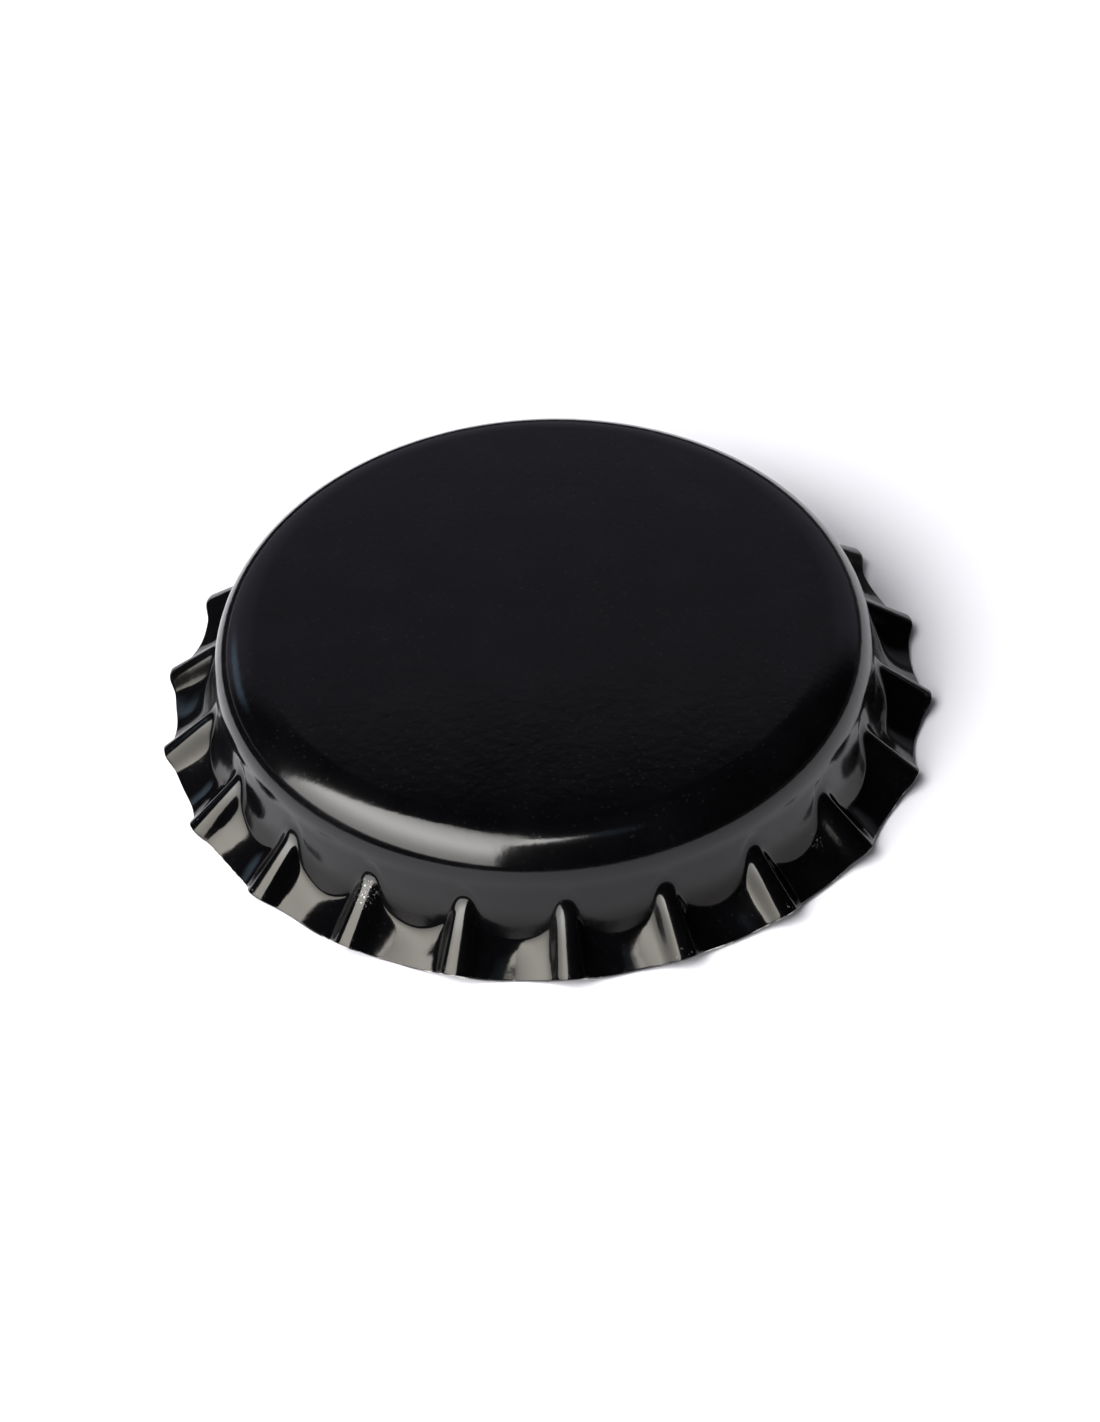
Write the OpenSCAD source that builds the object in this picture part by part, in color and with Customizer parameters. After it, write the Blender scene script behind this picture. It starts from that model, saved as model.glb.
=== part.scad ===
// Crown cap for a 26 mm bottle finish: a pressed tinplate shell with a fluted
// skirt, and the sealing liner that is moulded into it.
// Millimetres. The cap stands on the cut edge of its skirt, Z up, with the
// origin on the table under its middle.

/* [Shell] */
// Diameter over the ridge tips
overall_d = 32.1; // [31.9:0.1:32.3]
// Height from the table to the middle of the top
overall_h = 6; // [5.9:0.05:6.15]
// Straight bore under the shoulder, which slips over the ring of the bottle
bore_d = 26.75; // [26.6:0.05:26.9]
// Thickness of the tinplate
sheet_t = 0.235; // [0.2:0.005:0.28]
// Outside radius of the shoulder
shoulder_r = 2; // [1.7:0.1:2.2]
// Radius of the gently domed top
dome_r = 250; // [180:10:400]

/* [Flutes] */
// Number of flutes round the skirt
flute_count = 21; // [18:1:24]
// Height where the ridges leave the wall
flute_start_h = 3.4; // [3.3:0.05:3.45]
// Length of the bend from the wall into a ridge
ridge_bend = 0.6; // [0.4:0.05:0.8]
// Height of the ridge tips over the valley edges
tip_lift = 0.57; // [0.4:0.01:0.8]
// Half width of the rib on each ridge, as a share of half a flute
rib_half_width = 0.32; // [0.26:0.02:0.4]
// Share of a ridge's height that is its rib, the rest being an open wave
rib_height = 0.38; // [0.26:0.02:0.5]
// Share of half a flute over which that wave is hollow
hollow_share = 0.72; // [0.62:0.02:0.8]
// Diameter over the valley edges
valley_edge_d = 31; // [30.6:0.1:31.4]
// Diameter where a valley's wall and its flare would meet in a corner
crease_d = 27.44; // [27.3:0.02:27.7]
// Height of that corner over the valley edge
crease_rise = 1.07; // [0.9:0.01:1.3]
// Length of the bend that rounds that corner
crease_bend = 1.1; // [0.7:0.05:1.3]

/* [Liner] */
// Diameter of the liner
liner_d = 24.8; // [24:0.1:25.2]
// Thickness of the liner in the middle of the cap
membrane_t = 0.3; // [0.2:0.05:0.5]
// Inner diameter of the sealing bead
bead_inner_d = 18.4; // [17:0.2:20]
// Depth of the sealing bead under the shoulder's inside
bead_t = 1; // [0.8:0.05:1.2]
// Rounding of the two lower edges of the bead
bead_round = 0.35; // [0.2:0.05:0.45]

/* [Hidden] */

// wall and shoulder
wall_r = bore_d / 2 + sheet_t;
shoulder_c = wall_r - shoulder_r;
// the shoulder stands this much proud of the dome where its round starts
dome_proud = 0.01;
dome_drop = dome_r - sqrt(dome_r * dome_r - shoulder_c * shoulder_c);
shoulder_top = round_to_micron(overall_h - dome_drop + dome_proud);

// the pressed skirt ends a hair inside both faces of the wall it grows from
seam_inset = 0.01;
seam_lap = 0.15;
skirt_t = sheet_t - 2 * seam_inset;
skirt_top = [wall_r - seam_inset, flute_start_h + seam_lap];

// valley: down the wall, round the crease, then out and down to the cut edge
flare = atan2(crease_rise, valley_edge_d / 2 - crease_d / 2);
foot = skirt_t * cos(flare);
valley_crease = [crease_d / 2, foot + crease_rise];
valley_edge = [valley_edge_d / 2, foot];

// ridge: off the wall under the shoulder, then straight to the tip
ridge_corner = [wall_r - seam_inset, flute_start_h - ridge_bend];
ridge_tip = [overall_d / 2, foot + tip_lift];

// mesh of the skirt: columns for each flute, crowded towards its ridge, and
// rows for each of its three runs
flute_columns = 14;
column_crowding = 0.45;
columns = flute_count * flute_columns;
wall_rows = 2;
bend_rows = 4;
flare_rows = 3;
row_runs = concat(
    [for (i = [0 : wall_rows - 1]) i / wall_rows],
    [for (i = [0 : bend_rows - 1]) 1 + i / bend_rows],
    [for (i = [0 : flare_rows]) 2 + i / flare_rows]
);
rows = len(row_runs);
angle_step = 0.02;
run_step = 0.002;

// liner
liner_r = liner_d / 2;
bead_inner_r = bead_inner_d / 2;
seal_h = shoulder_top - sheet_t - bead_t;

turn_facets = 168;
round_facets = 96;
dome_facets = 2160;

// lengths rounded so that arcs and straight sides share their end points
function round_to_micron(x) = round(x * 1000) / 1000;

function unit(v) = v / norm(v);

// A straight run, a bend of the given length and a second straight run.
// The run number goes 0 to 1 on the first, 1 to 2 on the bend, 2 to 3 after it.
function bent_line(start, corner, end, bend, run) =
    let (
        a = corner + bend * unit(start - corner),
        b = corner + bend * unit(end - corner),
        s = run - 1
    )
    run < 1 ? start + (a - start) * run
    : run > 2 ? b + (end - b) * (run - 2)
    : a * (1 - s) * (1 - s) + corner * 2 * s * (1 - s) + b * s * s;

// Profiles of the skirt's outer face along a valley and along a ridge
function valley_line(run) = bent_line(skirt_top, valley_crease, valley_edge, crease_bend, run);
function ridge_line(run) = bent_line(skirt_top, ridge_corner, ridge_tip, ridge_bend, run);

// A narrow rib, round on its crest and smooth at its foot
function rib(off_crest) = pow(1 - pow(min(off_crest / rib_half_width, 1), 3), 3);

// An open wave: one arc hollow round the valley, one arc raised round the ridge
function wave(off_crest) =
    off_crest > 1 - hollow_share
    ? (1 - off_crest) * (1 - off_crest) / hollow_share
    : 1 - off_crest * off_crest / (1 - hollow_share);

// 1 on the crest of a ridge, 0 in the middle of a valley
function ridge_share(angle) =
    let (
        turns = flute_count * angle / 360,
        off_crest = 2 * abs(turns - round(turns))
    )
    rib_height * rib(off_crest) + (1 - rib_height) * wave(off_crest);

// Angle of a column of the mesh
function column_angle(i) =
    let (turns = i / flute_columns)
    (turns - column_crowding * sin(360 * turns) / (2 * PI)) * 360 / flute_count;

// A point on the outer face of the skirt
function outer_point(angle, run) =
    let (
        low = valley_line(run),
        rz = low + ridge_share(angle) * (ridge_line(run) - low)
    )
    [rz[0] * cos(angle), rz[0] * sin(angle), rz[1]];

// Which way the sheet faces there
function sheet_normal(angle, run) =
    unit(cross(
        outer_point(angle, run + run_step) - outer_point(angle, run - run_step),
        outer_point(angle + angle_step, run) - outer_point(angle - angle_step, run)
    ));

// The point behind it on the inner face
function inner_point(angle, run) = outer_point(angle, run) - skirt_t * sheet_normal(angle, run);

// Two triangles between columns i and i + 1 of two rows of points
function strip(i, row_a, row_b) =
    let (j = (i + 1) % columns)
    [
        [row_a + i, row_b + i, row_b + j],
        [row_a + i, row_b + j, row_a + j]
    ];

// The fluted skirt, one sheet thick, from inside the wall to the cut edge
module fluted_skirt() {
    angles = [for (i = [0 : columns - 1]) column_angle(i)];
    outer = [for (run = row_runs, a = angles) outer_point(a, run)];
    inner = [for (run = row_runs, a = angles) inner_point(a, run)];
    back = rows * columns;
    last = (rows - 1) * columns;
    outer_faces = [
        for (k = [0 : rows - 2], i = [0 : columns - 1])
        each strip(i, (k + 1) * columns, k * columns)
    ];
    inner_faces = [
        for (k = [0 : rows - 2], i = [0 : columns - 1])
        each strip(i, back + k * columns, back + (k + 1) * columns)
    ];
    top_faces = [for (i = [0 : columns - 1]) each strip(i, 0, back)];
    edge_faces = [for (i = [0 : columns - 1]) each strip(i, back + last, last)];
    polyhedron(
        points = concat(outer, inner),
        faces = concat(outer_faces, inner_faces, top_faces, edge_faces),
        convexity = 10
    );
}

// Half section of the domed, round-shouldered cup, set in from its outside
module cup_section(inset) {
    intersection() {
        union() {
            square([shoulder_c, overall_h]);
            square([wall_r - inset, shoulder_top - shoulder_r]);
            translate([shoulder_c, shoulder_top - shoulder_r])
                circle(r = shoulder_r - inset, $fn = round_facets);
        }
        translate([0, overall_h - dome_r])
            circle(r = dome_r - inset, $fn = dome_facets);
    }
}

// Top, shoulder and the plain band under it
module pressed_top() {
    rotate_extrude($fn = turn_facets)
        difference() {
            cup_section(0);
            cup_section(sheet_t);
            square([wall_r, flute_start_h]);
        }
}

module crown_shell() {
    color([0.06, 0.06, 0.07])
    union() {
        pressed_top();
        fluted_skirt();
    }
}

// Half section of the sealing bead, with its lower edges rounded
module bead_section() {
    translate([bead_inner_r, seal_h + bead_round])
        square([liner_r - bead_inner_r, overall_h]);
    translate([bead_inner_r + bead_round, seal_h])
        square([liner_r - bead_inner_r - 2 * bead_round, overall_h]);
    for (r = [bead_inner_r + bead_round, liner_r - bead_round])
        translate([r, seal_h + bead_round])
            circle(r = bead_round, $fn = round_facets);
}

// Liner moulded against the inside of the top: a thin middle and a thick rim
module liner() {
    color([0.80, 0.80, 0.77])
    rotate_extrude($fn = turn_facets)
        union() {
            intersection() {
                cup_section(sheet_t);
                bead_section();
            }
            difference() {
                intersection() {
                    cup_section(sheet_t);
                    square([bead_inner_r + bead_round, overall_h]);
                }
                cup_section(sheet_t + membrane_t);
            }
        }
}

crown_shell();
liner();
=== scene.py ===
# %% [markdown]
# # A black crown cap
# The object is a bottle's crown cap: one disc of lacquered tinplate, pressed into a domed top, a round
# shoulder and a skirt of flutes, with a sealing liner moulded inside. The solids come packed at their
# real size. This lesson dresses them: a finer skin for the shell, the finish of each face, a white table,
# window light and a camera.

# %% Load the frame
import math

import bpy
import numpy as np
from mathutils import Matrix, Vector


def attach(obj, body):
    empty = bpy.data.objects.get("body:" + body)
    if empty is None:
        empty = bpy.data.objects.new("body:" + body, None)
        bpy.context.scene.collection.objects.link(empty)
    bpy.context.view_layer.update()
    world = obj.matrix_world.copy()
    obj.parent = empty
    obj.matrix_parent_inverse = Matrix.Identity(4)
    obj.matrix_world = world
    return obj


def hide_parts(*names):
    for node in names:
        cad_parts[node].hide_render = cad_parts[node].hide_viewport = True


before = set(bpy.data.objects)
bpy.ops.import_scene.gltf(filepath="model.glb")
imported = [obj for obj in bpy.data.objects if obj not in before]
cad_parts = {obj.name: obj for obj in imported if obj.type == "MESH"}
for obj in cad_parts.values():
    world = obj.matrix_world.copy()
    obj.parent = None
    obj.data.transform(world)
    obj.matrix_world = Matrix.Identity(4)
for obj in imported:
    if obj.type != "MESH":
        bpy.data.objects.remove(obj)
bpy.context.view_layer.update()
MM = 0.001


# %% [markdown]
# ## The cap's own sizes
# A crown is a standard part, so a handful of sizes fixes its form: the diameter over the ridge tips, the
# bore, the sheet, and the heights where the flutes start and end. A finer skin could be made by
# subdividing the solids, but that would keep their facets. Here it is worked out afresh from the same
# sizes, in millimetres.

# %% Sizes of the cap in millimetres
FLUTES = 21
TIP_R = 16.05
TOP_H = 6.0
SHEET = 0.235
BORE_R = 13.375
WALL_R = BORE_R + SHEET
SHOULDER_R = 2.0
DOME_R = 250.0
FLUTE_START_H = 3.4
VALLEY_EDGE_R = 15.5
TIP_LIFT = 0.57
EDGE_ROUND = 0.05

# the cap stands on the inner corner of its valley edges, so their slope sets the height of the outer face
CREASE_R = 13.72
CREASE_RISE = 1.07
FLARE = math.atan2(CREASE_RISE, VALLEY_EDGE_R - CREASE_R)
FOOT = SHEET * math.cos(FLARE) - EDGE_ROUND * (math.sin(FLARE) + math.cos(FLARE) - 1)
print("flare of the valleys:", round(math.degrees(FLARE), 1), "degrees, edge at", round(FOOT, 3), "mm")

# %% [markdown]
# ## The half section
# The press draws the sheet over a domed punch, so the top is a very flat ball and the shoulder a quarter
# round that touches it. Both are written as arcs here. The two arcs share a tangent where they meet,
# which matters on a gloss finish: a kink too small to measure would still show as a line in the
# reflection.

# %% Dome and shoulder as arcs
SHOULDER_C = WALL_R - SHOULDER_R
DOME_C = TOP_H - DOME_R
SHOULDER_H = DOME_C + math.sqrt((DOME_R - SHOULDER_R) ** 2 - SHOULDER_C ** 2)
TURN = math.asin(SHOULDER_C / (DOME_R - SHOULDER_R))


def dome_line(count, inset=0.0):
    """Radius and height along the domed top, from the middle outwards."""
    angle = TURN * np.arange(1, count + 1) / count
    reach = DOME_R - inset
    return np.stack([reach * np.sin(angle), DOME_C + reach * np.cos(angle)], axis=1)


def shoulder_line(count, inset=0.0):
    """Radius and height round the shoulder, from the dome down to the wall."""
    angle = TURN + (math.pi / 2 - TURN) * np.arange(1, count + 1) / count
    reach = SHOULDER_R - inset
    return np.stack([SHOULDER_C + reach * np.sin(angle), SHOULDER_H + reach * np.cos(angle)], axis=1)


shoulder_start_r = DOME_R * math.sin(TURN)
print("shoulder from radius", round(shoulder_start_r, 2), "mm down to height", round(SHOULDER_H, 2), "mm")

# %% [markdown]
# ## Down a flute
# Under the shoulder the die gathers the spare sheet into ridges. A ridge leaves the wall early and runs
# straight to its tip. A valley leans down the wall, opens into a cone and turns out at a soft crease to
# the cut edge. A cage under a subdivision modifier could be pushed into this form by hand, but a formula
# keeps 21 flutes true, so each line is a path with rounded corners. The valley has one corner more than
# in the solids, fitted to the shading in the photograph. The skin stays within a quarter of a millimetre
# of them.

# %% Paths with rounded corners
def unit(v):
    return v / np.linalg.norm(v, axis=-1, keepdims=True)


def bend(a, corner, b, s):
    """A curve from a to b, for s from 0 to 1, that leaves and arrives along the sides of the corner."""
    return a * (1 - s) ** 2 + corner * 2 * s * (1 - s) + b * s * s


def rounded_path(corners, bends, knots, run):
    """A path past corners; run counts along it and meets a knot where a straight or a bend ends."""
    corners = [np.array(corner) for corner in corners]
    ends = corners[:1]
    for before, corner, after, (reach_in, reach_out) in zip(corners, corners[1:], corners[2:], bends):
        ends.append(corner + reach_in * unit(before - corner))
        ends.append(corner + reach_out * unit(after - corner))
    ends.append(corners[-1])

    run = np.asarray(run, float)[..., None]
    stretches = []
    for i, (low, high) in enumerate(zip((0.0,) + knots, knots)):
        s = (run - low) / (high - low)
        straight = ends[i] + (ends[i + 1] - ends[i]) * s
        is_bend = i % 2 == 1
        stretches.append(bend(ends[i], corners[(i + 1) // 2], ends[i + 1], s) if is_bend else straight)
    path = stretches[-1]
    for stretch, knot in zip(stretches[-2::-1], knots[-2::-1]):
        path = np.where(run < knot, stretch, path)
    return path


halfway = bend(np.array((1, 0)), np.zeros(2), np.array((0, 1)), 0.5)
print("halfway round a square corner, a bend lies at", halfway)

# %% Ridge and valley
RUN_BEND = 1.0
RUN_FLARE = 2.0
RUN_END = 3.0
SEAM_LAP = 0.1
SKIRT_TOP = (WALL_R, FLUTE_START_H + SEAM_LAP)

RIDGE_BEND = 0.6
RIDGE_CORNER = (WALL_R, FLUTE_START_H - RIDGE_BEND)
RIDGE_TIP = (TIP_R, FOOT + TIP_LIFT)
RIDGE_KNOTS = (RUN_BEND, RUN_FLARE, RUN_END)

VALLEY_LEAN = (13.864, 2.0)
VALLEY_CREASE = (14.30, 0.92)
VALLEY_EDGE = (VALLEY_EDGE_R, FOOT)
LEAN_BEND = 0.3
CREASE_IN = 0.25
CREASE_OUT = 0.9
VALLEY_KNOTS = (RUN_BEND, 1.3, 1.7, 2.5, RUN_END)


def ridge_line(run):
    """Off the wall under the shoulder, then straight to the tip."""
    corners = (SKIRT_TOP, RIDGE_CORNER, RIDGE_TIP)
    return rounded_path(corners, ((RIDGE_BEND, RIDGE_BEND),), RIDGE_KNOTS, run)


def valley_line(run):
    """Down the leaning wall, down a wider cone, then out round the crease to the cut edge."""
    corners = (SKIRT_TOP, VALLEY_LEAN, VALLEY_CREASE, VALLEY_EDGE)
    bends = ((LEAN_BEND, LEAN_BEND), (CREASE_IN, CREASE_OUT))
    return rounded_path(corners, bends, VALLEY_KNOTS, run)


print("ridge tip at", np.round(ridge_line(RUN_END), 2), "valley edge at", np.round(valley_line(RUN_END), 2))

# %% [markdown]
# ## Across a flute
# Seen from below, a flute is a narrow rib on an open wave: the sheet is gently hollow across the valley
# and folds up hard only at the ridge. A sine would be the easy choice, but it makes every flute look like
# a corrugated roof. One number is used here, 0 in the valley and 1 on the crest, made of a rib with a
# smooth foot and of two arcs that meet on a tangent. A real press is never quite true, so three waves
# that don't keep step with the flutes push the sheet in and out by a few hundredths of a millimetre.

# %% Share between valley and ridge
RIB_HALF_WIDTH = 0.42
RIB_HEIGHT = 0.5
HOLLOW_SHARE = 0.60
UNEVEN = 0.018
UNEVEN_WAVES = ((17, 0.7), (26, 2.1), (38, 4.0))
UNEVEN_FROM = 0.3
UNEVEN_FULL = 2.0


def ridge_share(angle):
    """1 on the crest of a ridge and 0 in the middle of a valley."""
    turns = angle * FLUTES / (2 * math.pi)
    off_crest = 2 * np.abs(turns - np.round(turns))
    rib = np.clip(1 - (off_crest / RIB_HALF_WIDTH) ** 3, 0, 1) ** 3
    hollow = (1 - off_crest) ** 2 / HOLLOW_SHARE
    raised = 1 - off_crest ** 2 / (1 - HOLLOW_SHARE)
    wave = np.where(off_crest > 1 - HOLLOW_SHARE, hollow, raised)
    return RIB_HEIGHT * rib + (1 - RIB_HEIGHT) * wave


def unevenness(angle, run):
    """A slight in and out round the skirt, that grows on the way down."""
    waves = sum(np.sin(count * angle + phase) for count, phase in UNEVEN_WAVES)
    return UNEVEN * waves * np.clip((run - UNEVEN_FROM) / (UNEVEN_FULL - UNEVEN_FROM), 0, 1)


def skirt_point(angle, run):
    """A point on the outer face of the skirt."""
    low = valley_line(run)
    rz = low + ridge_share(angle)[..., None] * (ridge_line(run) - low)
    r = rz[..., 0] + unevenness(angle, run)
    return np.stack([r * np.cos(angle), r * np.sin(angle), rz[..., 1]], axis=-1)


def skirt_frame(angle, run, step=1e-3):
    """The sheet's outward normal there, and the way down the sheet."""
    down = skirt_point(angle, run + step) - skirt_point(angle, run - step)
    along = skirt_point(angle + step / FLUTES, run) - skirt_point(angle - step / FLUTES, run)
    normal = unit(np.cross(down, along))
    return normal, unit(np.cross(along, normal))


QUARTER_FLUTE = math.pi / 2 / FLUTES
print("share halfway between crest and valley:", round(float(ridge_share(np.array(QUARTER_FLUTE))), 3))

# %% [markdown]
# ## One closed skin
# The shell is a single sheet, so its mesh is a single closed grid: from the middle of the top, over the
# shoulder, down the flutes, round the cut edge and back up inside. Rows run round the cap and columns run
# down it. The columns crowd together on the ridges, where the sheet bends hardest. A solidify modifier
# could give the inside, but on folds this tight it can pinch, so the inside is set in along the sheet's
# own normal.

# %% Rows and columns of the skirt
COLUMNS_A_FLUTE = 36
CROWD = 0.45
OUTER_ROWS = (5, 14, 14)
INNER_ROWS = (4, 8, 8)

columns = np.arange(FLUTES * COLUMNS_A_FLUTE) / COLUMNS_A_FLUTE
shell_angles = 2 * math.pi / FLUTES * (columns - CROWD * np.sin(2 * math.pi * columns) / (2 * math.pi))


def row_runs(first, second, third):
    """Run numbers of the rows, from how many rows each third of the way down gets."""
    down_the_wall = np.arange(first) / first
    round_the_bend = RUN_BEND + np.arange(second) / second
    out_the_flare = RUN_FLARE + np.arange(third + 1) / third
    return np.concatenate([down_the_wall, round_the_bend, out_the_flare])


def skirt_rows(runs):
    run, angle = np.meshgrid(runs, shell_angles, indexing="ij")
    return skirt_point(angle, run), *skirt_frame(angle, run)


outer_runs = row_runs(*OUTER_ROWS)
outer, normal, down = skirt_rows(outer_runs)
behind, behind_normal, _ = skirt_rows(row_runs(*INNER_ROWS))
inner = behind - SHEET * behind_normal
print("skirt:", len(outer), "rows outside and", len(inner), "inside, of", len(shell_angles), "points")

# %% [markdown]
# ## The cut edge
# The blanking die shears the disc out of the sheet and leaves both corners of the cut slightly round. A
# bevel modifier would round them too, but also every other sharp bend of the flutes. The edge is
# therefore a few more rows of the grid: each sinks into the sheet and reaches a little less far down than
# the middle of the cut.

# %% Rows round the cut edge
CORNER_ROWS = 5

edge, edge_normal, edge_down = outer[-1], normal[-1], down[-1]
quarter = np.linspace(0, math.pi / 2, CORNER_ROWS)
outer_corner = [(EDGE_ROUND, turn) for turn in quarter]
inner_corner = [(SHEET - EDGE_ROUND, math.pi / 2 + turn) for turn in quarter]
edge_rows = []
for depth, turn in outer_corner + inner_corner:
    sink = depth - EDGE_ROUND * math.cos(turn)
    reach = EDGE_ROUND * (math.sin(turn) - 1)
    edge_rows.append(edge - sink * edge_normal + reach * edge_down)
print("cut edge:", len(edge_rows), "rows, rounded by", EDGE_ROUND, "mm")

# %% Mesh of the shell
DOME_ROWS = 10
SHOULDER_ROWS = 26
INNER_SHOULDER_ROWS = 12
INNER_DOME_ROWS = 4


def turned(rz, angles):
    """Rings of points from a half section."""
    r, z = rz[:, :1], rz[:, 1:]
    return np.stack([r * np.cos(angles), r * np.sin(angles), z + 0 * angles], axis=-1)


def new_mesh(name, points, faces, smooth=True):
    """An object in the scene from points in millimetres."""
    mesh = bpy.data.meshes.new(name)
    mesh.from_pydata((np.array(points) * MM).tolist(), [], faces)
    if smooth:
        mesh.shade_smooth()
    piece = bpy.data.objects.new(name, mesh)
    bpy.context.scene.collection.objects.link(piece)
    return piece


def closed_skin(name, rows, top_h, under_h):
    """Quads between each row and the next, with a fan of triangles to the middle at both ends."""
    row_count, width = rows.shape[:2]
    points = np.concatenate([rows.reshape(-1, 3), [[0, 0, top_h], [0, 0, under_h]]])
    top, under = len(points) - 2, len(points) - 1
    i = np.arange(width)
    j = (i + 1) % width
    k = np.arange(row_count - 1)[:, None] * width
    faces = np.stack([k + i, k + width + i, k + width + j, k + j], axis=-1).reshape(-1, 4).tolist()
    last = (row_count - 1) * width
    faces += [(top, a, (a + 1) % width) for a in range(width)]
    faces += [(under, last + (a + 1) % width, last + a) for a in range(width)]
    return new_mesh(name, points, faces)


rows = np.concatenate([
    turned(dome_line(DOME_ROWS), shell_angles),
    turned(shoulder_line(SHOULDER_ROWS), shell_angles),
    outer[:-1],
    np.array(edge_rows),
    inner[-2::-1],
    turned(shoulder_line(INNER_SHOULDER_ROWS, SHEET)[::-1], shell_angles),
    turned(dome_line(INNER_DOME_ROWS, SHEET)[::-1], shell_angles),
])
shell = closed_skin("crown_shell_skin", rows, TOP_H, TOP_H - SHEET)
row_count, width = rows.shape[:2]
print("shell skin:", row_count, "rows of", width, "points,", len(shell.data.polygons), "faces")

# %% [markdown]
# ## Where the finish wears
# Lacquer chips where the press stretched it and where caps rub in the hopper: along the cut edge and on
# the crests of the ridges. That could be painted by hand on an image, but the mesh already knows where
# its edge and its crests are. Two numbers on every point carry it into the materials: how near the point
# lies to the cut edge, and how far up on a ridge it is.

# %% Wear as numbers on the mesh
skirt_start = DOME_ROWS + SHOULDER_ROWS
edge_start = skirt_start + len(outer_runs) - 1
inner_start = edge_start + len(edge_rows)
near_edge = np.zeros((row_count, width))
on_crest = np.zeros((row_count, width))
skirt_runs = outer_runs[:-1, None]
near_edge[skirt_start:edge_start] = np.clip(skirt_runs - RUN_FLARE, 0, 1) ** 3
near_edge[edge_start:inner_start] = 1
crest_share = ridge_share(shell_angles)[None, :] ** 2
down_the_ridge = np.clip((skirt_runs - RUN_BEND) / (RUN_END - RUN_BEND), 0, 1)
on_crest[skirt_start:edge_start] = crest_share * down_the_ridge
for name, value in (("near_edge", near_edge), ("on_crest", on_crest)):
    layer = shell.data.attributes.new(name, "FLOAT", "POINT")
    layer.data.foreach_set("value", np.concatenate([value.ravel(), [0, 0]]).astype(np.float32))
print("points on the cut edge:", int((near_edge == 1).sum()))

# %% [markdown]
# ## Materials from nodes
# Every finish below is a Principled shader fed by noise that is placed in the object's own metres, so it
# stays on the cap from every side. Nodes can be clicked together in the editor. A few helpers do the same
# in code: one puts a node down, the rest name what a group of nodes is for.

# %% Helpers for node materials
def new_material(name):
    material = bpy.data.materials.new(name)
    material.use_nodes = True
    tree = material.node_tree
    tree.nodes.clear()
    shader = tree.nodes.new("ShaderNodeBsdfPrincipled")
    output = tree.nodes.new("ShaderNodeOutputMaterial")
    tree.links.new(shader.outputs["BSDF"], output.inputs["Surface"])
    return material, tree, shader


def fill(tree, socket, value):
    """Link another node's output to a socket, or set its number or colour."""
    if isinstance(value, bpy.types.NodeSocket):
        tree.links.new(value, socket)
    else:
        socket.default_value = value


def put(tree, kind, inputs=None, **settings):
    """A node with its settings and inputs."""
    node = tree.nodes.new(kind)
    for key, value in settings.items():
        setattr(node, key, value)
    for key, value in (inputs or {}).items():
        fill(tree, node.inputs[key], value)
    return node


def place(tree):
    return put(tree, "ShaderNodeTexCoord").outputs["Object"]


def arithmetic(tree, operation, a, b):
    return put(tree, "ShaderNodeMath", {0: a, 1: b}, operation=operation).outputs[0]


def times(tree, a, b):
    return arithmetic(tree, "MULTIPLY", a, b)


def plus(tree, a, b):
    return arithmetic(tree, "ADD", a, b)


def ramp(tree, value, low, high, start=0.0, end=1.0, shape="SMOOTHSTEP"):
    """start at low and before it, end at high and past it, and a slope between."""
    inputs = {"Value": value, "From Min": low, "From Max": high, "To Min": start, "To Max": end}
    return put(tree, "ShaderNodeMapRange", inputs, interpolation_type=shape).outputs["Result"]


print("first node helpers ready")

# %% Helpers for noise, colour and relief
def noise(tree, where, a_metre, detail, roughness=0.5):
    """Cloudy noise round 0.5, with about so many clouds in a metre."""
    inputs = {"Vector": where, "Scale": a_metre, "Detail": detail, "Roughness": roughness}
    return put(tree, "ShaderNodeTexNoise", inputs).outputs["Fac"]


def cells(tree, where, a_metre):
    """Scattered points, about so many in a metre: the distance to the nearest, and a colour for each."""
    return put(tree, "ShaderNodeTexVoronoi", {"Vector": where, "Scale": a_metre})


def blend_colour(tree, factor, a, b):
    """Colour a where the factor is 0 and colour b where it is 1."""
    node = put(tree, "ShaderNodeMix", data_type="RGBA")
    for name, kind, value in (("Factor", "VALUE", factor), ("A", "RGBA", a), ("B", "RGBA", b)):
        socket = next(s for s in node.inputs if s.name == name and s.type == kind)
        fill(tree, socket, value)
    return next(s for s in node.outputs if s.type == "RGBA")


def spread(tree, value, start, end):
    """From start in the hollows of a noise to end on its heights."""
    return ramp(tree, value, 0.3, 0.7, start, end)


def emboss(tree, shader, height, strength, depth):
    """Let a height tilt the light on a face, with no change of shape; depth is in metres."""
    node = put(tree, "ShaderNodeBump", {"Height": height, "Strength": strength, "Distance": depth})
    fill(tree, shader.inputs["Normal"], node.outputs["Normal"])


print("noise, colour and relief helpers ready")

# %% [markdown]
# ## Dust and chips
# A cap that has lain about carries specks of dust, and bare steel shows where it was knocked. Both could
# be scattered as tiny pieces, but they are far thinner than the sheet, so they are part of the finish.
# Dust is the middles of scattered cells, strong where a slow noise says that it drifted together. A chip
# is the peak of a fine noise, and only counts where the wear numbers or one of two rub marks lift it.

# %% Dust
DRIFTS_A_METRE = 170.0
GRIT_A_METRE = 1300.0
MOTES_A_METRE = 2900.0
GRAIN_EDGE = (0.08, 0.02)
MOTE_EDGE = (0.24, 0.05)
GRIT_DRIFT = (0.45, 0.66)
MIST_DRIFT = (0.36, 0.62)
GRIT_STRENGTH = (0.0, 0.7)
MIST_STRENGTH = (0.09, 0.20)


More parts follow.
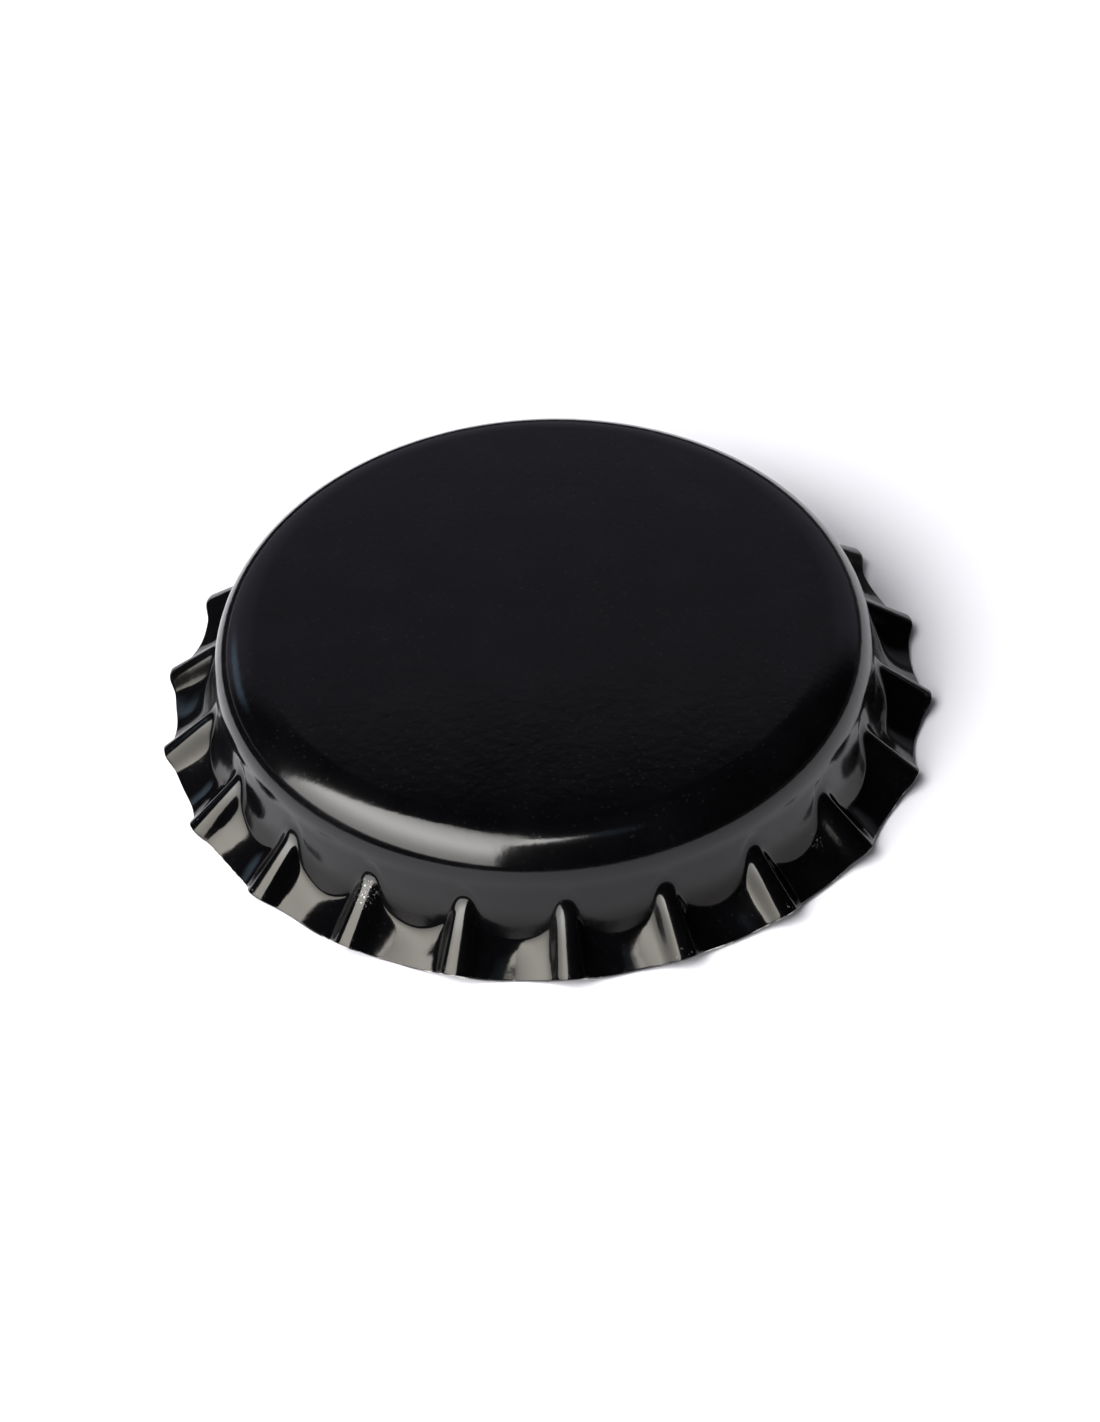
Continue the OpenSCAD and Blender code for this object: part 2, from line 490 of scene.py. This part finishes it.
def dust_on(tree, where):
    """Small dots, each of its own strength, over a finer mist, both in drifts."""
    drift = noise(tree, where, DRIFTS_A_METRE, 4.0)
    grit = cells(tree, where, GRIT_A_METRE)
    motes = cells(tree, where, MOTES_A_METRE)
    strength = put(tree, "ShaderNodeSeparateXYZ", {"Vector": grit.outputs["Color"]}).outputs["X"]
    grains = times(tree, ramp(tree, grit.outputs["Distance"], *GRAIN_EDGE), ramp(tree, strength, 0.5, 1.0))
    grains = times(tree, grains, ramp(tree, drift, *GRIT_DRIFT, *GRIT_STRENGTH))
    mist = ramp(tree, motes.outputs["Distance"], *MOTE_EDGE)
    mist = times(tree, mist, ramp(tree, drift, *MIST_DRIFT, *MIST_STRENGTH))
    return arithmetic(tree, "MAXIMUM", grains, mist)


print("grains of dust are about", round(1000 / GRIT_A_METRE, 2), "mm apart")

# %% Chips
CHIPS_A_METRE = 11000.0
CHIP_FROM = 0.81
CHIP_FULL = 0.87
EDGE_WEAR = 0.15
RUB_WEAR = 0.21
CREST_WEAR = 0.05
RUB_CORE = 0.35
# middle and reach of each mark, in metres: a ridge at the front left, a valley at the front right
RUB_MARKS = (((-0.0071, -0.0123, 0.0023), 0.0011), ((0.0110, -0.0090, 0.00125), 0.0007))


def chips_on(tree, where):
    """1 where bare steel shows through the lacquer."""
    near_edge = put(tree, "ShaderNodeAttribute", attribute_name="near_edge").outputs["Fac"]
    on_crest = put(tree, "ShaderNodeAttribute", attribute_name="on_crest").outputs["Fac"]
    rubs = []
    for spot, reach in RUB_MARKS:
        apart = put(tree, "ShaderNodeVectorMath", {0: where, 1: spot}, operation="DISTANCE")
        rubs.append(ramp(tree, apart.outputs["Value"], reach, RUB_CORE * reach))
    worn = plus(tree, times(tree, near_edge, EDGE_WEAR), times(tree, plus(tree, *rubs), RUB_WEAR))
    worn = plus(tree, worn, times(tree, on_crest, CREST_WEAR))
    grain = noise(tree, where, CHIPS_A_METRE, 3.0, 0.6)
    return ramp(tree, plus(tree, grain, worn), CHIP_FROM, CHIP_FULL)


print("rub marks:", len(RUB_MARKS))

# %% [markdown]
# ## Black lacquer
# The outside is stoving lacquer on tinplate: nearly black, very smooth, with the faint swell of a cured
# film and the draw lines of the press. A gloss black could be one dark colour and a low roughness, but it
# then looks like plastic. Here the gloss comes from the shader and the base stays dark, while dust,
# chips, a slight veil and a shallow relief break the reflections up. Down the flutes the film is
# stretched thin, and it reflects a little less there, and warmer.

# %% Lacquer
FILM_DARK = (0.0007, 0.0007, 0.0009, 1)
FILM_LIGHT = (0.0012, 0.0012, 0.0015, 1)
DUST_GREY = (0.013, 0.013, 0.015, 1)
CHIP_GREY = (0.16, 0.155, 0.15, 1)
PLAIN = (1, 1, 1, 1)
WARM_TINT = (1, 0.965, 0.90, 1)
VEIL_A_METRE = 330.0
CLOUDS_A_METRE = 180.0
SWELL_A_METRE = 1300.0
DRAW_LINES_A_METRE = 2400.0
GLOSS = (0.09, 0.15)
CHIP_DULL = 0.15
DUST_DULL = 0.3
CHIP_METAL = 0.9
LACQUER_IOR = 1.5
SHINE = (0.345, 0.25)
THIN_FROM_H = 0.0026
THIN_BELOW_H = 0.0014
DRAWN_OUT = (1.0, 1.0, 0.06)
FILM_DEPTH = 0.00001
SWELL_HEIGHT = 0.3
DRAW_LINE_HEIGHT = 0.5
CHIP_HEIGHT = 0.8


def film_relief(tree, where, chip):
    """The swell of the cured film, the draw lines of the press down the wall, and the depth of a chip."""
    swell = noise(tree, where, SWELL_A_METRE, 2.0)
    drawn = put(tree, "ShaderNodeMapping", {"Vector": where, "Scale": DRAWN_OUT}).outputs["Vector"]
    lines = noise(tree, drawn, DRAW_LINES_A_METRE, 3.0)
    film = plus(tree, times(tree, swell, SWELL_HEIGHT), times(tree, lines, DRAW_LINE_HEIGHT))
    return arithmetic(tree, "SUBTRACT", film, times(tree, chip, CHIP_HEIGHT))


def black_lacquer():
    material, tree, shader = new_material("gloss_black_lacquer")
    where = place(tree)
    dust = dust_on(tree, where)
    chip = chips_on(tree, where)

    # the black itself, veiled a little by handling
    veil = ramp(tree, noise(tree, where, VEIL_A_METRE, 6.0, 0.6), 0.40, 0.70)
    dusty = blend_colour(tree, dust, blend_colour(tree, veil, FILM_DARK, FILM_LIGHT), DUST_GREY)
    fill(tree, shader.inputs["Base Color"], blend_colour(tree, chip, dusty, CHIP_GREY))
    fill(tree, shader.inputs["Metallic"], times(tree, chip, CHIP_METAL))

    # gloss, duller on chips and dust
    gloss = ramp(tree, noise(tree, where, CLOUDS_A_METRE, 5.0), 0.3, 0.75, *GLOSS)
    dull = plus(tree, times(tree, chip, CHIP_DULL), times(tree, dust, DUST_DULL))
    fill(tree, shader.inputs["Roughness"], plus(tree, gloss, dull))
    fill(tree, shader.inputs["IOR"], LACQUER_IOR)

    # the film is stretched thin down the flutes
    height = put(tree, "ShaderNodeSeparateXYZ", {"Vector": where}).outputs["Z"]
    thin = ramp(tree, height, THIN_FROM_H, THIN_BELOW_H)
    fill(tree, shader.inputs["Specular IOR Level"], ramp(tree, thin, 0.0, 1.0, *SHINE))
    fill(tree, shader.inputs["Specular Tint"], blend_colour(tree, thin, PLAIN, WARM_TINT))

    emboss(tree, shader, film_relief(tree, where, chip), 1.0, FILM_DEPTH)
    return material


shell.data.materials.append(black_lacquer())
print("outside of the shell:", shell.data.materials[0].name)

# %% [markdown]
# ## Sheared steel
# The cut edge never saw the lacquer line: it is bare steel with fine shear marks, and flecks of lacquer
# that were dragged over the corner. A plain metal would do from afar. Two noises are used instead, one
# for the marks and one for the flecks, because the rim catches the light all round the cap.

# %% Cut edge
STEEL_DARK = (0.42, 0.41, 0.39, 1)
STEEL_LIGHT = (0.70, 0.69, 0.66, 1)
FLECK_BLACK = (0.008, 0.008, 0.009, 1)
SHEAR_MARKS_A_METRE = 2500.0
FLECKS_A_METRE = 700.0
STEEL_ROUGHNESS = (0.25, 0.45)
STEEL_METAL = 0.95
SHEAR_DEPTH = 0.00002


def sheared_steel():
    material, tree, shader = new_material("sheared_steel")
    where = place(tree)
    marks = noise(tree, where, SHEAR_MARKS_A_METRE, 4.0)
    painted = ramp(tree, noise(tree, where, FLECKS_A_METRE, 5.0, 0.65), 0.42, 0.50)
    bare = blend_colour(tree, spread(tree, marks, 0.0, 1.0), STEEL_DARK, STEEL_LIGHT)
    fill(tree, shader.inputs["Base Color"], blend_colour(tree, painted, bare, FLECK_BLACK))
    fill(tree, shader.inputs["Metallic"], ramp(tree, painted, 0.0, 1.0, STEEL_METAL, 0.0))
    fill(tree, shader.inputs["Roughness"], spread(tree, marks, *STEEL_ROUGHNESS))
    emboss(tree, shader, marks, 0.3, SHEAR_DEPTH)
    return material


shell.data.materials.append(sheared_steel())
print("cut edge of the shell:", shell.data.materials[1].name)

# %% [markdown]
# ## Lacquered tin
# Inside, the sheet keeps its bright tin under a clear and faintly golden lacquer, slightly brushed by the
# punch. It is a metal with a warm colour that clouds a little, and a roughness that follows the rubs.

# %% Inside
TIN_DARK = (0.58, 0.56, 0.50, 1)
TIN_LIGHT = (0.70, 0.68, 0.63, 1)
RUBS_A_METRE = 900.0
TIN_CLOUDS_A_METRE = 150.0
TIN_ROUGHNESS = (0.20, 0.34)
RUB_DEPTH = 0.00002


def lacquered_tin():
    material, tree, shader = new_material("lacquered_tin")
    where = place(tree)
    rubs = noise(tree, where, RUBS_A_METRE, 4.0)
    cloud = spread(tree, noise(tree, where, TIN_CLOUDS_A_METRE, 3.0), 0.0, 1.0)
    fill(tree, shader.inputs["Base Color"], blend_colour(tree, cloud, TIN_DARK, TIN_LIGHT))
    fill(tree, shader.inputs["Metallic"], 1.0)
    fill(tree, shader.inputs["Roughness"], spread(tree, rubs, *TIN_ROUGHNESS))
    emboss(tree, shader, rubs, 0.15, RUB_DEPTH)
    return material


shell.data.materials.append(lacquered_tin())
print("inside of the shell:", shell.data.materials[2].name)

# %% [markdown]
# ## The right finish on each face
# The faces of the grid lie row by row, so the row of a face says where on the sheet it is, and no face
# has to be picked by hand. Each coating runs one row round its corner of the cut, as on a sheet that was
# coated before it was stamped. The finished skin then takes the place of the plain solid.

# %% Finishes of the shell
LACQUER, STEEL, TIN = range(3)
COATING_LAP = 1

row_of_face = np.repeat(np.arange(row_count - 1), width)
past_the_lacquer = np.where(row_of_face < inner_start - 1 - COATING_LAP, STEEL, TIN)
finish_of_face = np.where(row_of_face < edge_start + COATING_LAP, LACQUER, past_the_lacquer)
finish_of_face = np.concatenate([finish_of_face, np.full(width, LACQUER), np.full(width, TIN)])
shell.data.polygons.foreach_set("material_index", finish_of_face.astype(np.int32))
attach(shell, "root")
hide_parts("crown_shell")
print("faces of lacquer, steel and tin:", np.bincount(finish_of_face).tolist())

# %% [markdown]
# ## The sealing liner
# Under the top lies the liner, a disc of soft compound with a thick rim that the bottle's lip presses
# into. It is moulded in place, so its back is the inside of the top and only its underside has a form of
# its own: a thin middle, a step down and a flat sealing bead with soft edges. A turned half section makes
# all of that.

# %% Half section of the liner
LINER_R = 12.4
MEMBRANE = 0.3
BEAD_INNER_R = 9.2
BEAD_DEPTH = 1.0
BEAD_ROUND = 0.35
SEAL_H = SHOULDER_H + SHOULDER_R - SHEET - BEAD_DEPTH
STEP_FILLET = ((0.0, 0.15), (0.05, 0.05))
STEP_CLEAR = 0.15
BACK_DOME_ROWS = 8
BACK_SHOULDER_ROWS = 60
UNDER_ROWS = 40
UNDER_STRIDE = 4


def soft_corner(r, z, start, end, count=9):
    """An arc of the bead's rounding, between two angles in degrees."""
    angle = np.radians(np.linspace(start, end, count))
    return np.stack([r + BEAD_ROUND * np.cos(angle), z + BEAD_ROUND * np.sin(angle)], axis=1)


back_shoulder = shoulder_line(BACK_SHOULDER_ROWS, SHEET)
back_shoulder = back_shoulder[back_shoulder[:, 0] < LINER_R]
under = dome_line(UNDER_ROWS, SHEET + MEMBRANE)
under = under[under[:, 0] < BEAD_INNER_R - STEP_CLEAR][::UNDER_STRIDE]
section = np.concatenate([
    dome_line(BACK_DOME_ROWS, SHEET),
    back_shoulder,
    soft_corner(LINER_R - BEAD_ROUND, SEAL_H + BEAD_ROUND, 0, -90),
    soft_corner(BEAD_INNER_R + BEAD_ROUND, SEAL_H + BEAD_ROUND, 270, 180),
    [(BEAD_INNER_R - inward, under[-1, 1] - drop) for inward, drop in STEP_FILLET],
    under[::-1],
])
print("liner section:", len(section), "points, sealing face at", round(SEAL_H, 3), "mm")

# %% Mesh of the liner
LINER_TURNS = 192

liner_angles = 2 * math.pi * np.arange(LINER_TURNS) / LINER_TURNS
liner = closed_skin("liner_disc", turned(section, liner_angles), TOP_H - SHEET, TOP_H - SHEET - MEMBRANE)
print("liner:", len(liner.data.polygons), "faces")

# %% [markdown]
# ## Liner compound
# Liners are a soft, milky plastic that lets a little light in. A plain white would look like paint, so a
# small part of the light scatters under the surface, and fine pores take the shine off.

# %% Liner compound
MILKY_DARK = (0.70, 0.70, 0.67, 1)
MILKY_LIGHT = (0.78, 0.78, 0.76, 1)
SCATTER_SHARE = 0.15
SCATTER_REACH = 0.0006
PORES_A_METRE = 2600.0
MILKY_CLOUDS_A_METRE = 220.0
PORE_ROUGHNESS = (0.35, 0.5)
PORE_DEPTH = 0.00003


def liner_compound():
    material, tree, shader = new_material("milky_compound")
    where = place(tree)
    pores = noise(tree, where, PORES_A_METRE, 3.0)
    cloud = noise(tree, where, MILKY_CLOUDS_A_METRE, 4.0)
    milky = blend_colour(tree, cloud, MILKY_DARK, MILKY_LIGHT)
    fill(tree, shader.inputs["Base Color"], milky)
    fill(tree, shader.inputs["Roughness"], spread(tree, pores, *PORE_ROUGHNESS))
    fill(tree, shader.inputs["Subsurface Weight"], SCATTER_SHARE)
    fill(tree, shader.inputs["Subsurface Scale"], SCATTER_REACH)
    emboss(tree, shader, pores, 0.2, PORE_DEPTH)
    return material


liner.data.materials.append(liner_compound())
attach(liner, "root")
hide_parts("liner")
print("finish of the liner:", liner.data.materials[0].name)

# %% [markdown]
# ## The camera
# The photograph looks down at the cap from a little over 40 degrees with a long lens, and is turned a few
# degrees. A camera can be flown into place by eye, but here it is placed by those angles: a long way back
# for the cap's size, aimed at the middle of the circle of ridge tips, and then moved sideways until that
# circle lies where it does in the picture.

# %% Camera
PICTURE_PX = (1100, 1422)
TIP_CIRCLE_PX = (546.2, 703.6)
FOCUS_PX = 6432.0
AZIMUTH = math.radians(2.868)
ELEVATION = math.radians(43.64)
ROLL = math.radians(-3.18)
DISTANCE = 268.0
SENSOR = 36.0
CLIP_START = 0.01
CLIP_END = 10.0

back = Vector((
    math.sin(AZIMUTH) * math.cos(ELEVATION),
    -math.cos(AZIMUTH) * math.cos(ELEVATION),
    math.sin(ELEVATION),
))
level = Vector((math.cos(AZIMUTH), math.sin(AZIMUTH), 0))
upright = back.cross(level)
right = math.cos(ROLL) * level + math.sin(ROLL) * upright
up = -math.sin(ROLL) * level + math.cos(ROLL) * upright
mm_a_px = DISTANCE / FOCUS_PX
aim = Vector((0, 0, FOOT + TIP_LIFT))
aim += right * (PICTURE_PX[0] / 2 - TIP_CIRCLE_PX[0]) * mm_a_px
aim -= up * (PICTURE_PX[1] / 2 - TIP_CIRCLE_PX[1]) * mm_a_px

camera = bpy.data.objects.new("camera", bpy.data.cameras.new("camera"))
bpy.context.scene.collection.objects.link(camera)
stand = Matrix.Translation((aim + back * DISTANCE) * MM)
camera.matrix_world = stand @ Matrix((right, up, back)).transposed().to_4x4()
camera.data.sensor_width = SENSOR
camera.data.lens = FOCUS_PX / max(PICTURE_PX) * SENSOR
camera.data.clip_start = CLIP_START
camera.data.clip_end = CLIP_END
bpy.context.scene.camera = camera
print("lens", round(camera.data.lens, 1), "mm at", DISTANCE, "mm")

# %% [markdown]
# ## The table
# Gloss black shows nothing but what stands round it, so everything from here on is chosen by what it
# leaves in the lacquer. A white table gives the grey band on the wall and the pale rims. It is one large
# square of dull white, a little blue so that it lands on neutral under the warm light.

# %% Table
TABLE_HALF = 1500.0
PAPER_DARK = (0.585, 0.588, 0.635, 1)
PAPER_LIGHT = (0.60, 0.603, 0.65, 1)
PAPER_CLOUDS_A_METRE = 120.0
PAPER_ROUGHNESS = 0.7


def white_table():
    material, tree, shader = new_material("white_table")
    paper = noise(tree, place(tree), PAPER_CLOUDS_A_METRE, 3.0)
    fill(tree, shader.inputs["Base Color"], blend_colour(tree, paper, PAPER_DARK, PAPER_LIGHT))
    fill(tree, shader.inputs["Roughness"], PAPER_ROUGHNESS)
    return material


table_corners = [(TABLE_HALF * x, TABLE_HALF * y, 0) for x, y in ((-1, -1), (1, -1), (1, 1), (-1, 1))]
table = new_mesh("table", table_corners, [(0, 1, 2, 3)], smooth=False)
table.data.materials.append(white_table())
print("table:", 2 * TABLE_HALF * MM, "m wide")

# %% [markdown]
# ## A black card
# On so large a table the whole skirt would reflect white. A product photographer stands strips of black
# card round a gloss object, just out of the picture, to cut that reflection short. Here the card is a low
# ring, lower on the left. The camera doesn't see it, it casts no shadow, and the soft light of the table
# passes it by. Only reflections meet it.

# %% Black card
CARD_R = 44.0
CARD_H = 6.8
CARD_DIP = 2.4
CARD_MIDDLE = (16.0, -6.0)
CARD_TURNS = 96
CARD_BLACK = (0.01, 0.01, 0.01, 1)
CARD_ROUGHNESS = 0.9

foot_ring = []
top_ring = []
for i in range(CARD_TURNS):
    turn = 2 * math.pi * i / CARD_TURNS
    x = CARD_MIDDLE[0] + CARD_R * math.cos(turn)
    y = CARD_MIDDLE[1] + CARD_R * math.sin(turn)
    foot_ring.append((x, y, 0.0))
    top_ring.append((x, y, CARD_H - CARD_DIP * max(0.0, -math.cos(turn))))
beside = [(i, (i + 1) % CARD_TURNS) for i in range(CARD_TURNS)]
card_faces = [(i, j, CARD_TURNS + j, CARD_TURNS + i) for i, j in beside]
card = new_mesh("black_flag", foot_ring + top_ring, card_faces, smooth=False)
material, tree, shader = new_material("black_card")
fill(tree, shader.inputs["Base Color"], CARD_BLACK)
fill(tree, shader.inputs["Roughness"], CARD_ROUGHNESS)
card.data.materials.append(material)
card.visible_camera = False
card.visible_diffuse = False
card.visible_shadow = False
print("card:", CARD_H, "mm high,", CARD_H - CARD_DIP, "mm on the left")

# %% [markdown]
# ## Windows and sky
# One tall window at the front left gives the streak on the shoulder and the pale patches in the flutes,
# and a slanted pane carries the streak on towards the right. Two weak blue panes stand for the sky in the
# other flutes. A picture of a room could light the scene instead, but then no part of it could be moved
# by itself. Each pane is an area light, set by the angles that it fills as seen from the cap, and its
# strength varies over its face, because a hard-edged pane would look like a lamp.

# %% Area lights by angle
LIGHT_DISTANCE = 0.3


def toward(azimuth, elevation):
    """A direction by its azimuth from the camera's side, right positive, and its elevation, in degrees."""
    a, e = math.radians(azimuth), math.radians(elevation)
    front = Vector((math.sin(AZIMUTH), -math.cos(AZIMUTH), 0))
    return (front * math.cos(a) + level * math.sin(a)) * math.cos(e) + Vector((0, 0, math.sin(e)))


def window(name, azimuths, elevations, radiance, colour):
    """An upright light that fills a range of azimuths and of elevations as seen from the cap."""
    middle, half = sum(azimuths) / 2, (azimuths[1] - azimuths[0]) / 2
    low, high = (LIGHT_DISTANCE * math.tan(math.radians(e)) for e in elevations)
    light = bpy.data.lights.new(name, "AREA")
    light.shape = "RECTANGLE"
    light.size = 2 * LIGHT_DISTANCE * math.tan(math.radians(half))
    light.size_y = high - low
    light.energy = math.pi * light.size * light.size_y * radiance
    light.color = colour
    lamp = bpy.data.objects.new(name, light)
    bpy.context.scene.collection.objects.link(lamp)
    lamp.location = toward(middle, 0) * LIGHT_DISTANCE + Vector((0, 0, (low + high) / 2))
    lamp.rotation_mode = "QUATERNION"
    lamp.rotation_quaternion = toward(middle, 0).to_track_quat("Z", "Y")
    return lamp


def shade(lamp, pane):
    """Let a light's strength vary over its face; across runs from side to side, and up from the sill."""
    lamp.data.use_nodes = True
    tree = lamp.data.node_tree
    face = put(tree, "ShaderNodeNewGeometry").outputs["Parametric"]
    face = put(tree, "ShaderNodeSeparateXYZ", {"Vector": face})
    strength = pane(tree, face.outputs["X"], face.outputs["Y"])
    fill(tree, tree.nodes["Emission"].inputs["Strength"], strength)


print("lights stand", LIGHT_DISTANCE, "m from the cap")

# %% Panes
def window_pane(tree, across, up):
    """Brightest a quarter of the way up, fading towards the top, with narrow soft sides."""
    rise = ramp(tree, up, 0.0, 0.22, 0.4, 1.0)
    fall = ramp(tree, up, 0.25, 1.0, 1.0, 0.2, "LINEAR")
    sides = times(tree, ramp(tree, across, 0.0, 0.04), ramp(tree, across, 1.0, 0.97))
    return times(tree, times(tree, rise, fall), sides)


def slanted_pane(tree, across, up):
    """A sill that climbs across the pane, and a light that weakens with it."""
    sill = arithmetic(tree, "SUBTRACT", up, times(tree, across, 0.8))
    return times(tree, ramp(tree, sill, 0.0, 0.12), ramp(tree, across, 1.0, 0.4, 0.35, 1.0))


def soft_pane(tree, across, up):
    """Brightest in the middle and dark at every side."""
    sides = times(tree, ramp(tree, across, 0.0, 0.4), ramp(tree, across, 1.0, 0.6))
    ends = times(tree, ramp(tree, up, 0.0, 0.35), ramp(tree, up, 1.0, 0.65))
    return times(tree, sides, ends)


WARM = (1.0, 0.985, 0.955)
SKY = (0.48, 0.75, 1.0)
WINDOWS = (
    ("window", (-91, -17), (5, 77), 14.5, WARM, window_pane),
    ("window_top", (-17, 16), (51, 69), 14.0, WARM, slanted_pane),
    ("sky_right", (12, 46), (55, 73), 0.45, SKY, soft_pane),
    ("sky_left", (-141, -115), (9, 25), 1.2, SKY, soft_pane),
)
for name, azimuths, elevations, radiance, colour, pane in WINDOWS:
    shade(window(name, azimuths, elevations, radiance, colour), pane)

# %% [markdown]
# ## The room
# The rest of the room is dim, and that keeps the top nearly black. Behind the cap it is a little lighter
# below a certain height, which the far half of the top mirrors as a soft grey. A real wall could stand
# there, but the background needs no distance and no size, so the room is a world whose strength depends
# on the direction alone.

# %% Room
ROOM_COLOUR = (0.86, 0.82, 1.0, 1)
ROOM_STRENGTH = 0.012
WALL_STRENGTH = 0.235
WALL_TOP = (0.765, 0.712)
WALL_SIDE = (0.46, 0.68)
LOW_WALL = (0.68, 0.56)
LOW_WALL_GAIN = 1.35

world = bpy.data.worlds.new("room")
bpy.context.scene.world = world
world.use_nodes = True
tree = world.node_tree
tree.nodes.clear()
direction = put(tree, "ShaderNodeTexCoord").outputs["Generated"]
height = put(tree, "ShaderNodeSeparateXYZ", {"Vector": direction}).outputs["Z"]
facing = put(tree, "ShaderNodeVectorMath", {0: direction, 1: -toward(0, 0)}, operation="DOT_PRODUCT")
below_top = ramp(tree, height, *WALL_TOP, 0.0, WALL_STRENGTH)
lighter_wall = times(tree, below_top, ramp(tree, facing.outputs["Value"], *WALL_SIDE))
lighter_wall = times(tree, lighter_wall, ramp(tree, height, *LOW_WALL, 1.0, LOW_WALL_GAIN))
strength = plus(tree, ROOM_STRENGTH, lighter_wall)
room = put(tree, "ShaderNodeBackground", {"Color": ROOM_COLOUR, "Strength": strength})
output = put(tree, "ShaderNodeOutputWorld")
fill(tree, output.inputs["Surface"], room.outputs["Background"])
bpy.context.scene.view_settings.view_transform = "Standard"
print("room:", world.name, "with", len(tree.nodes), "nodes")
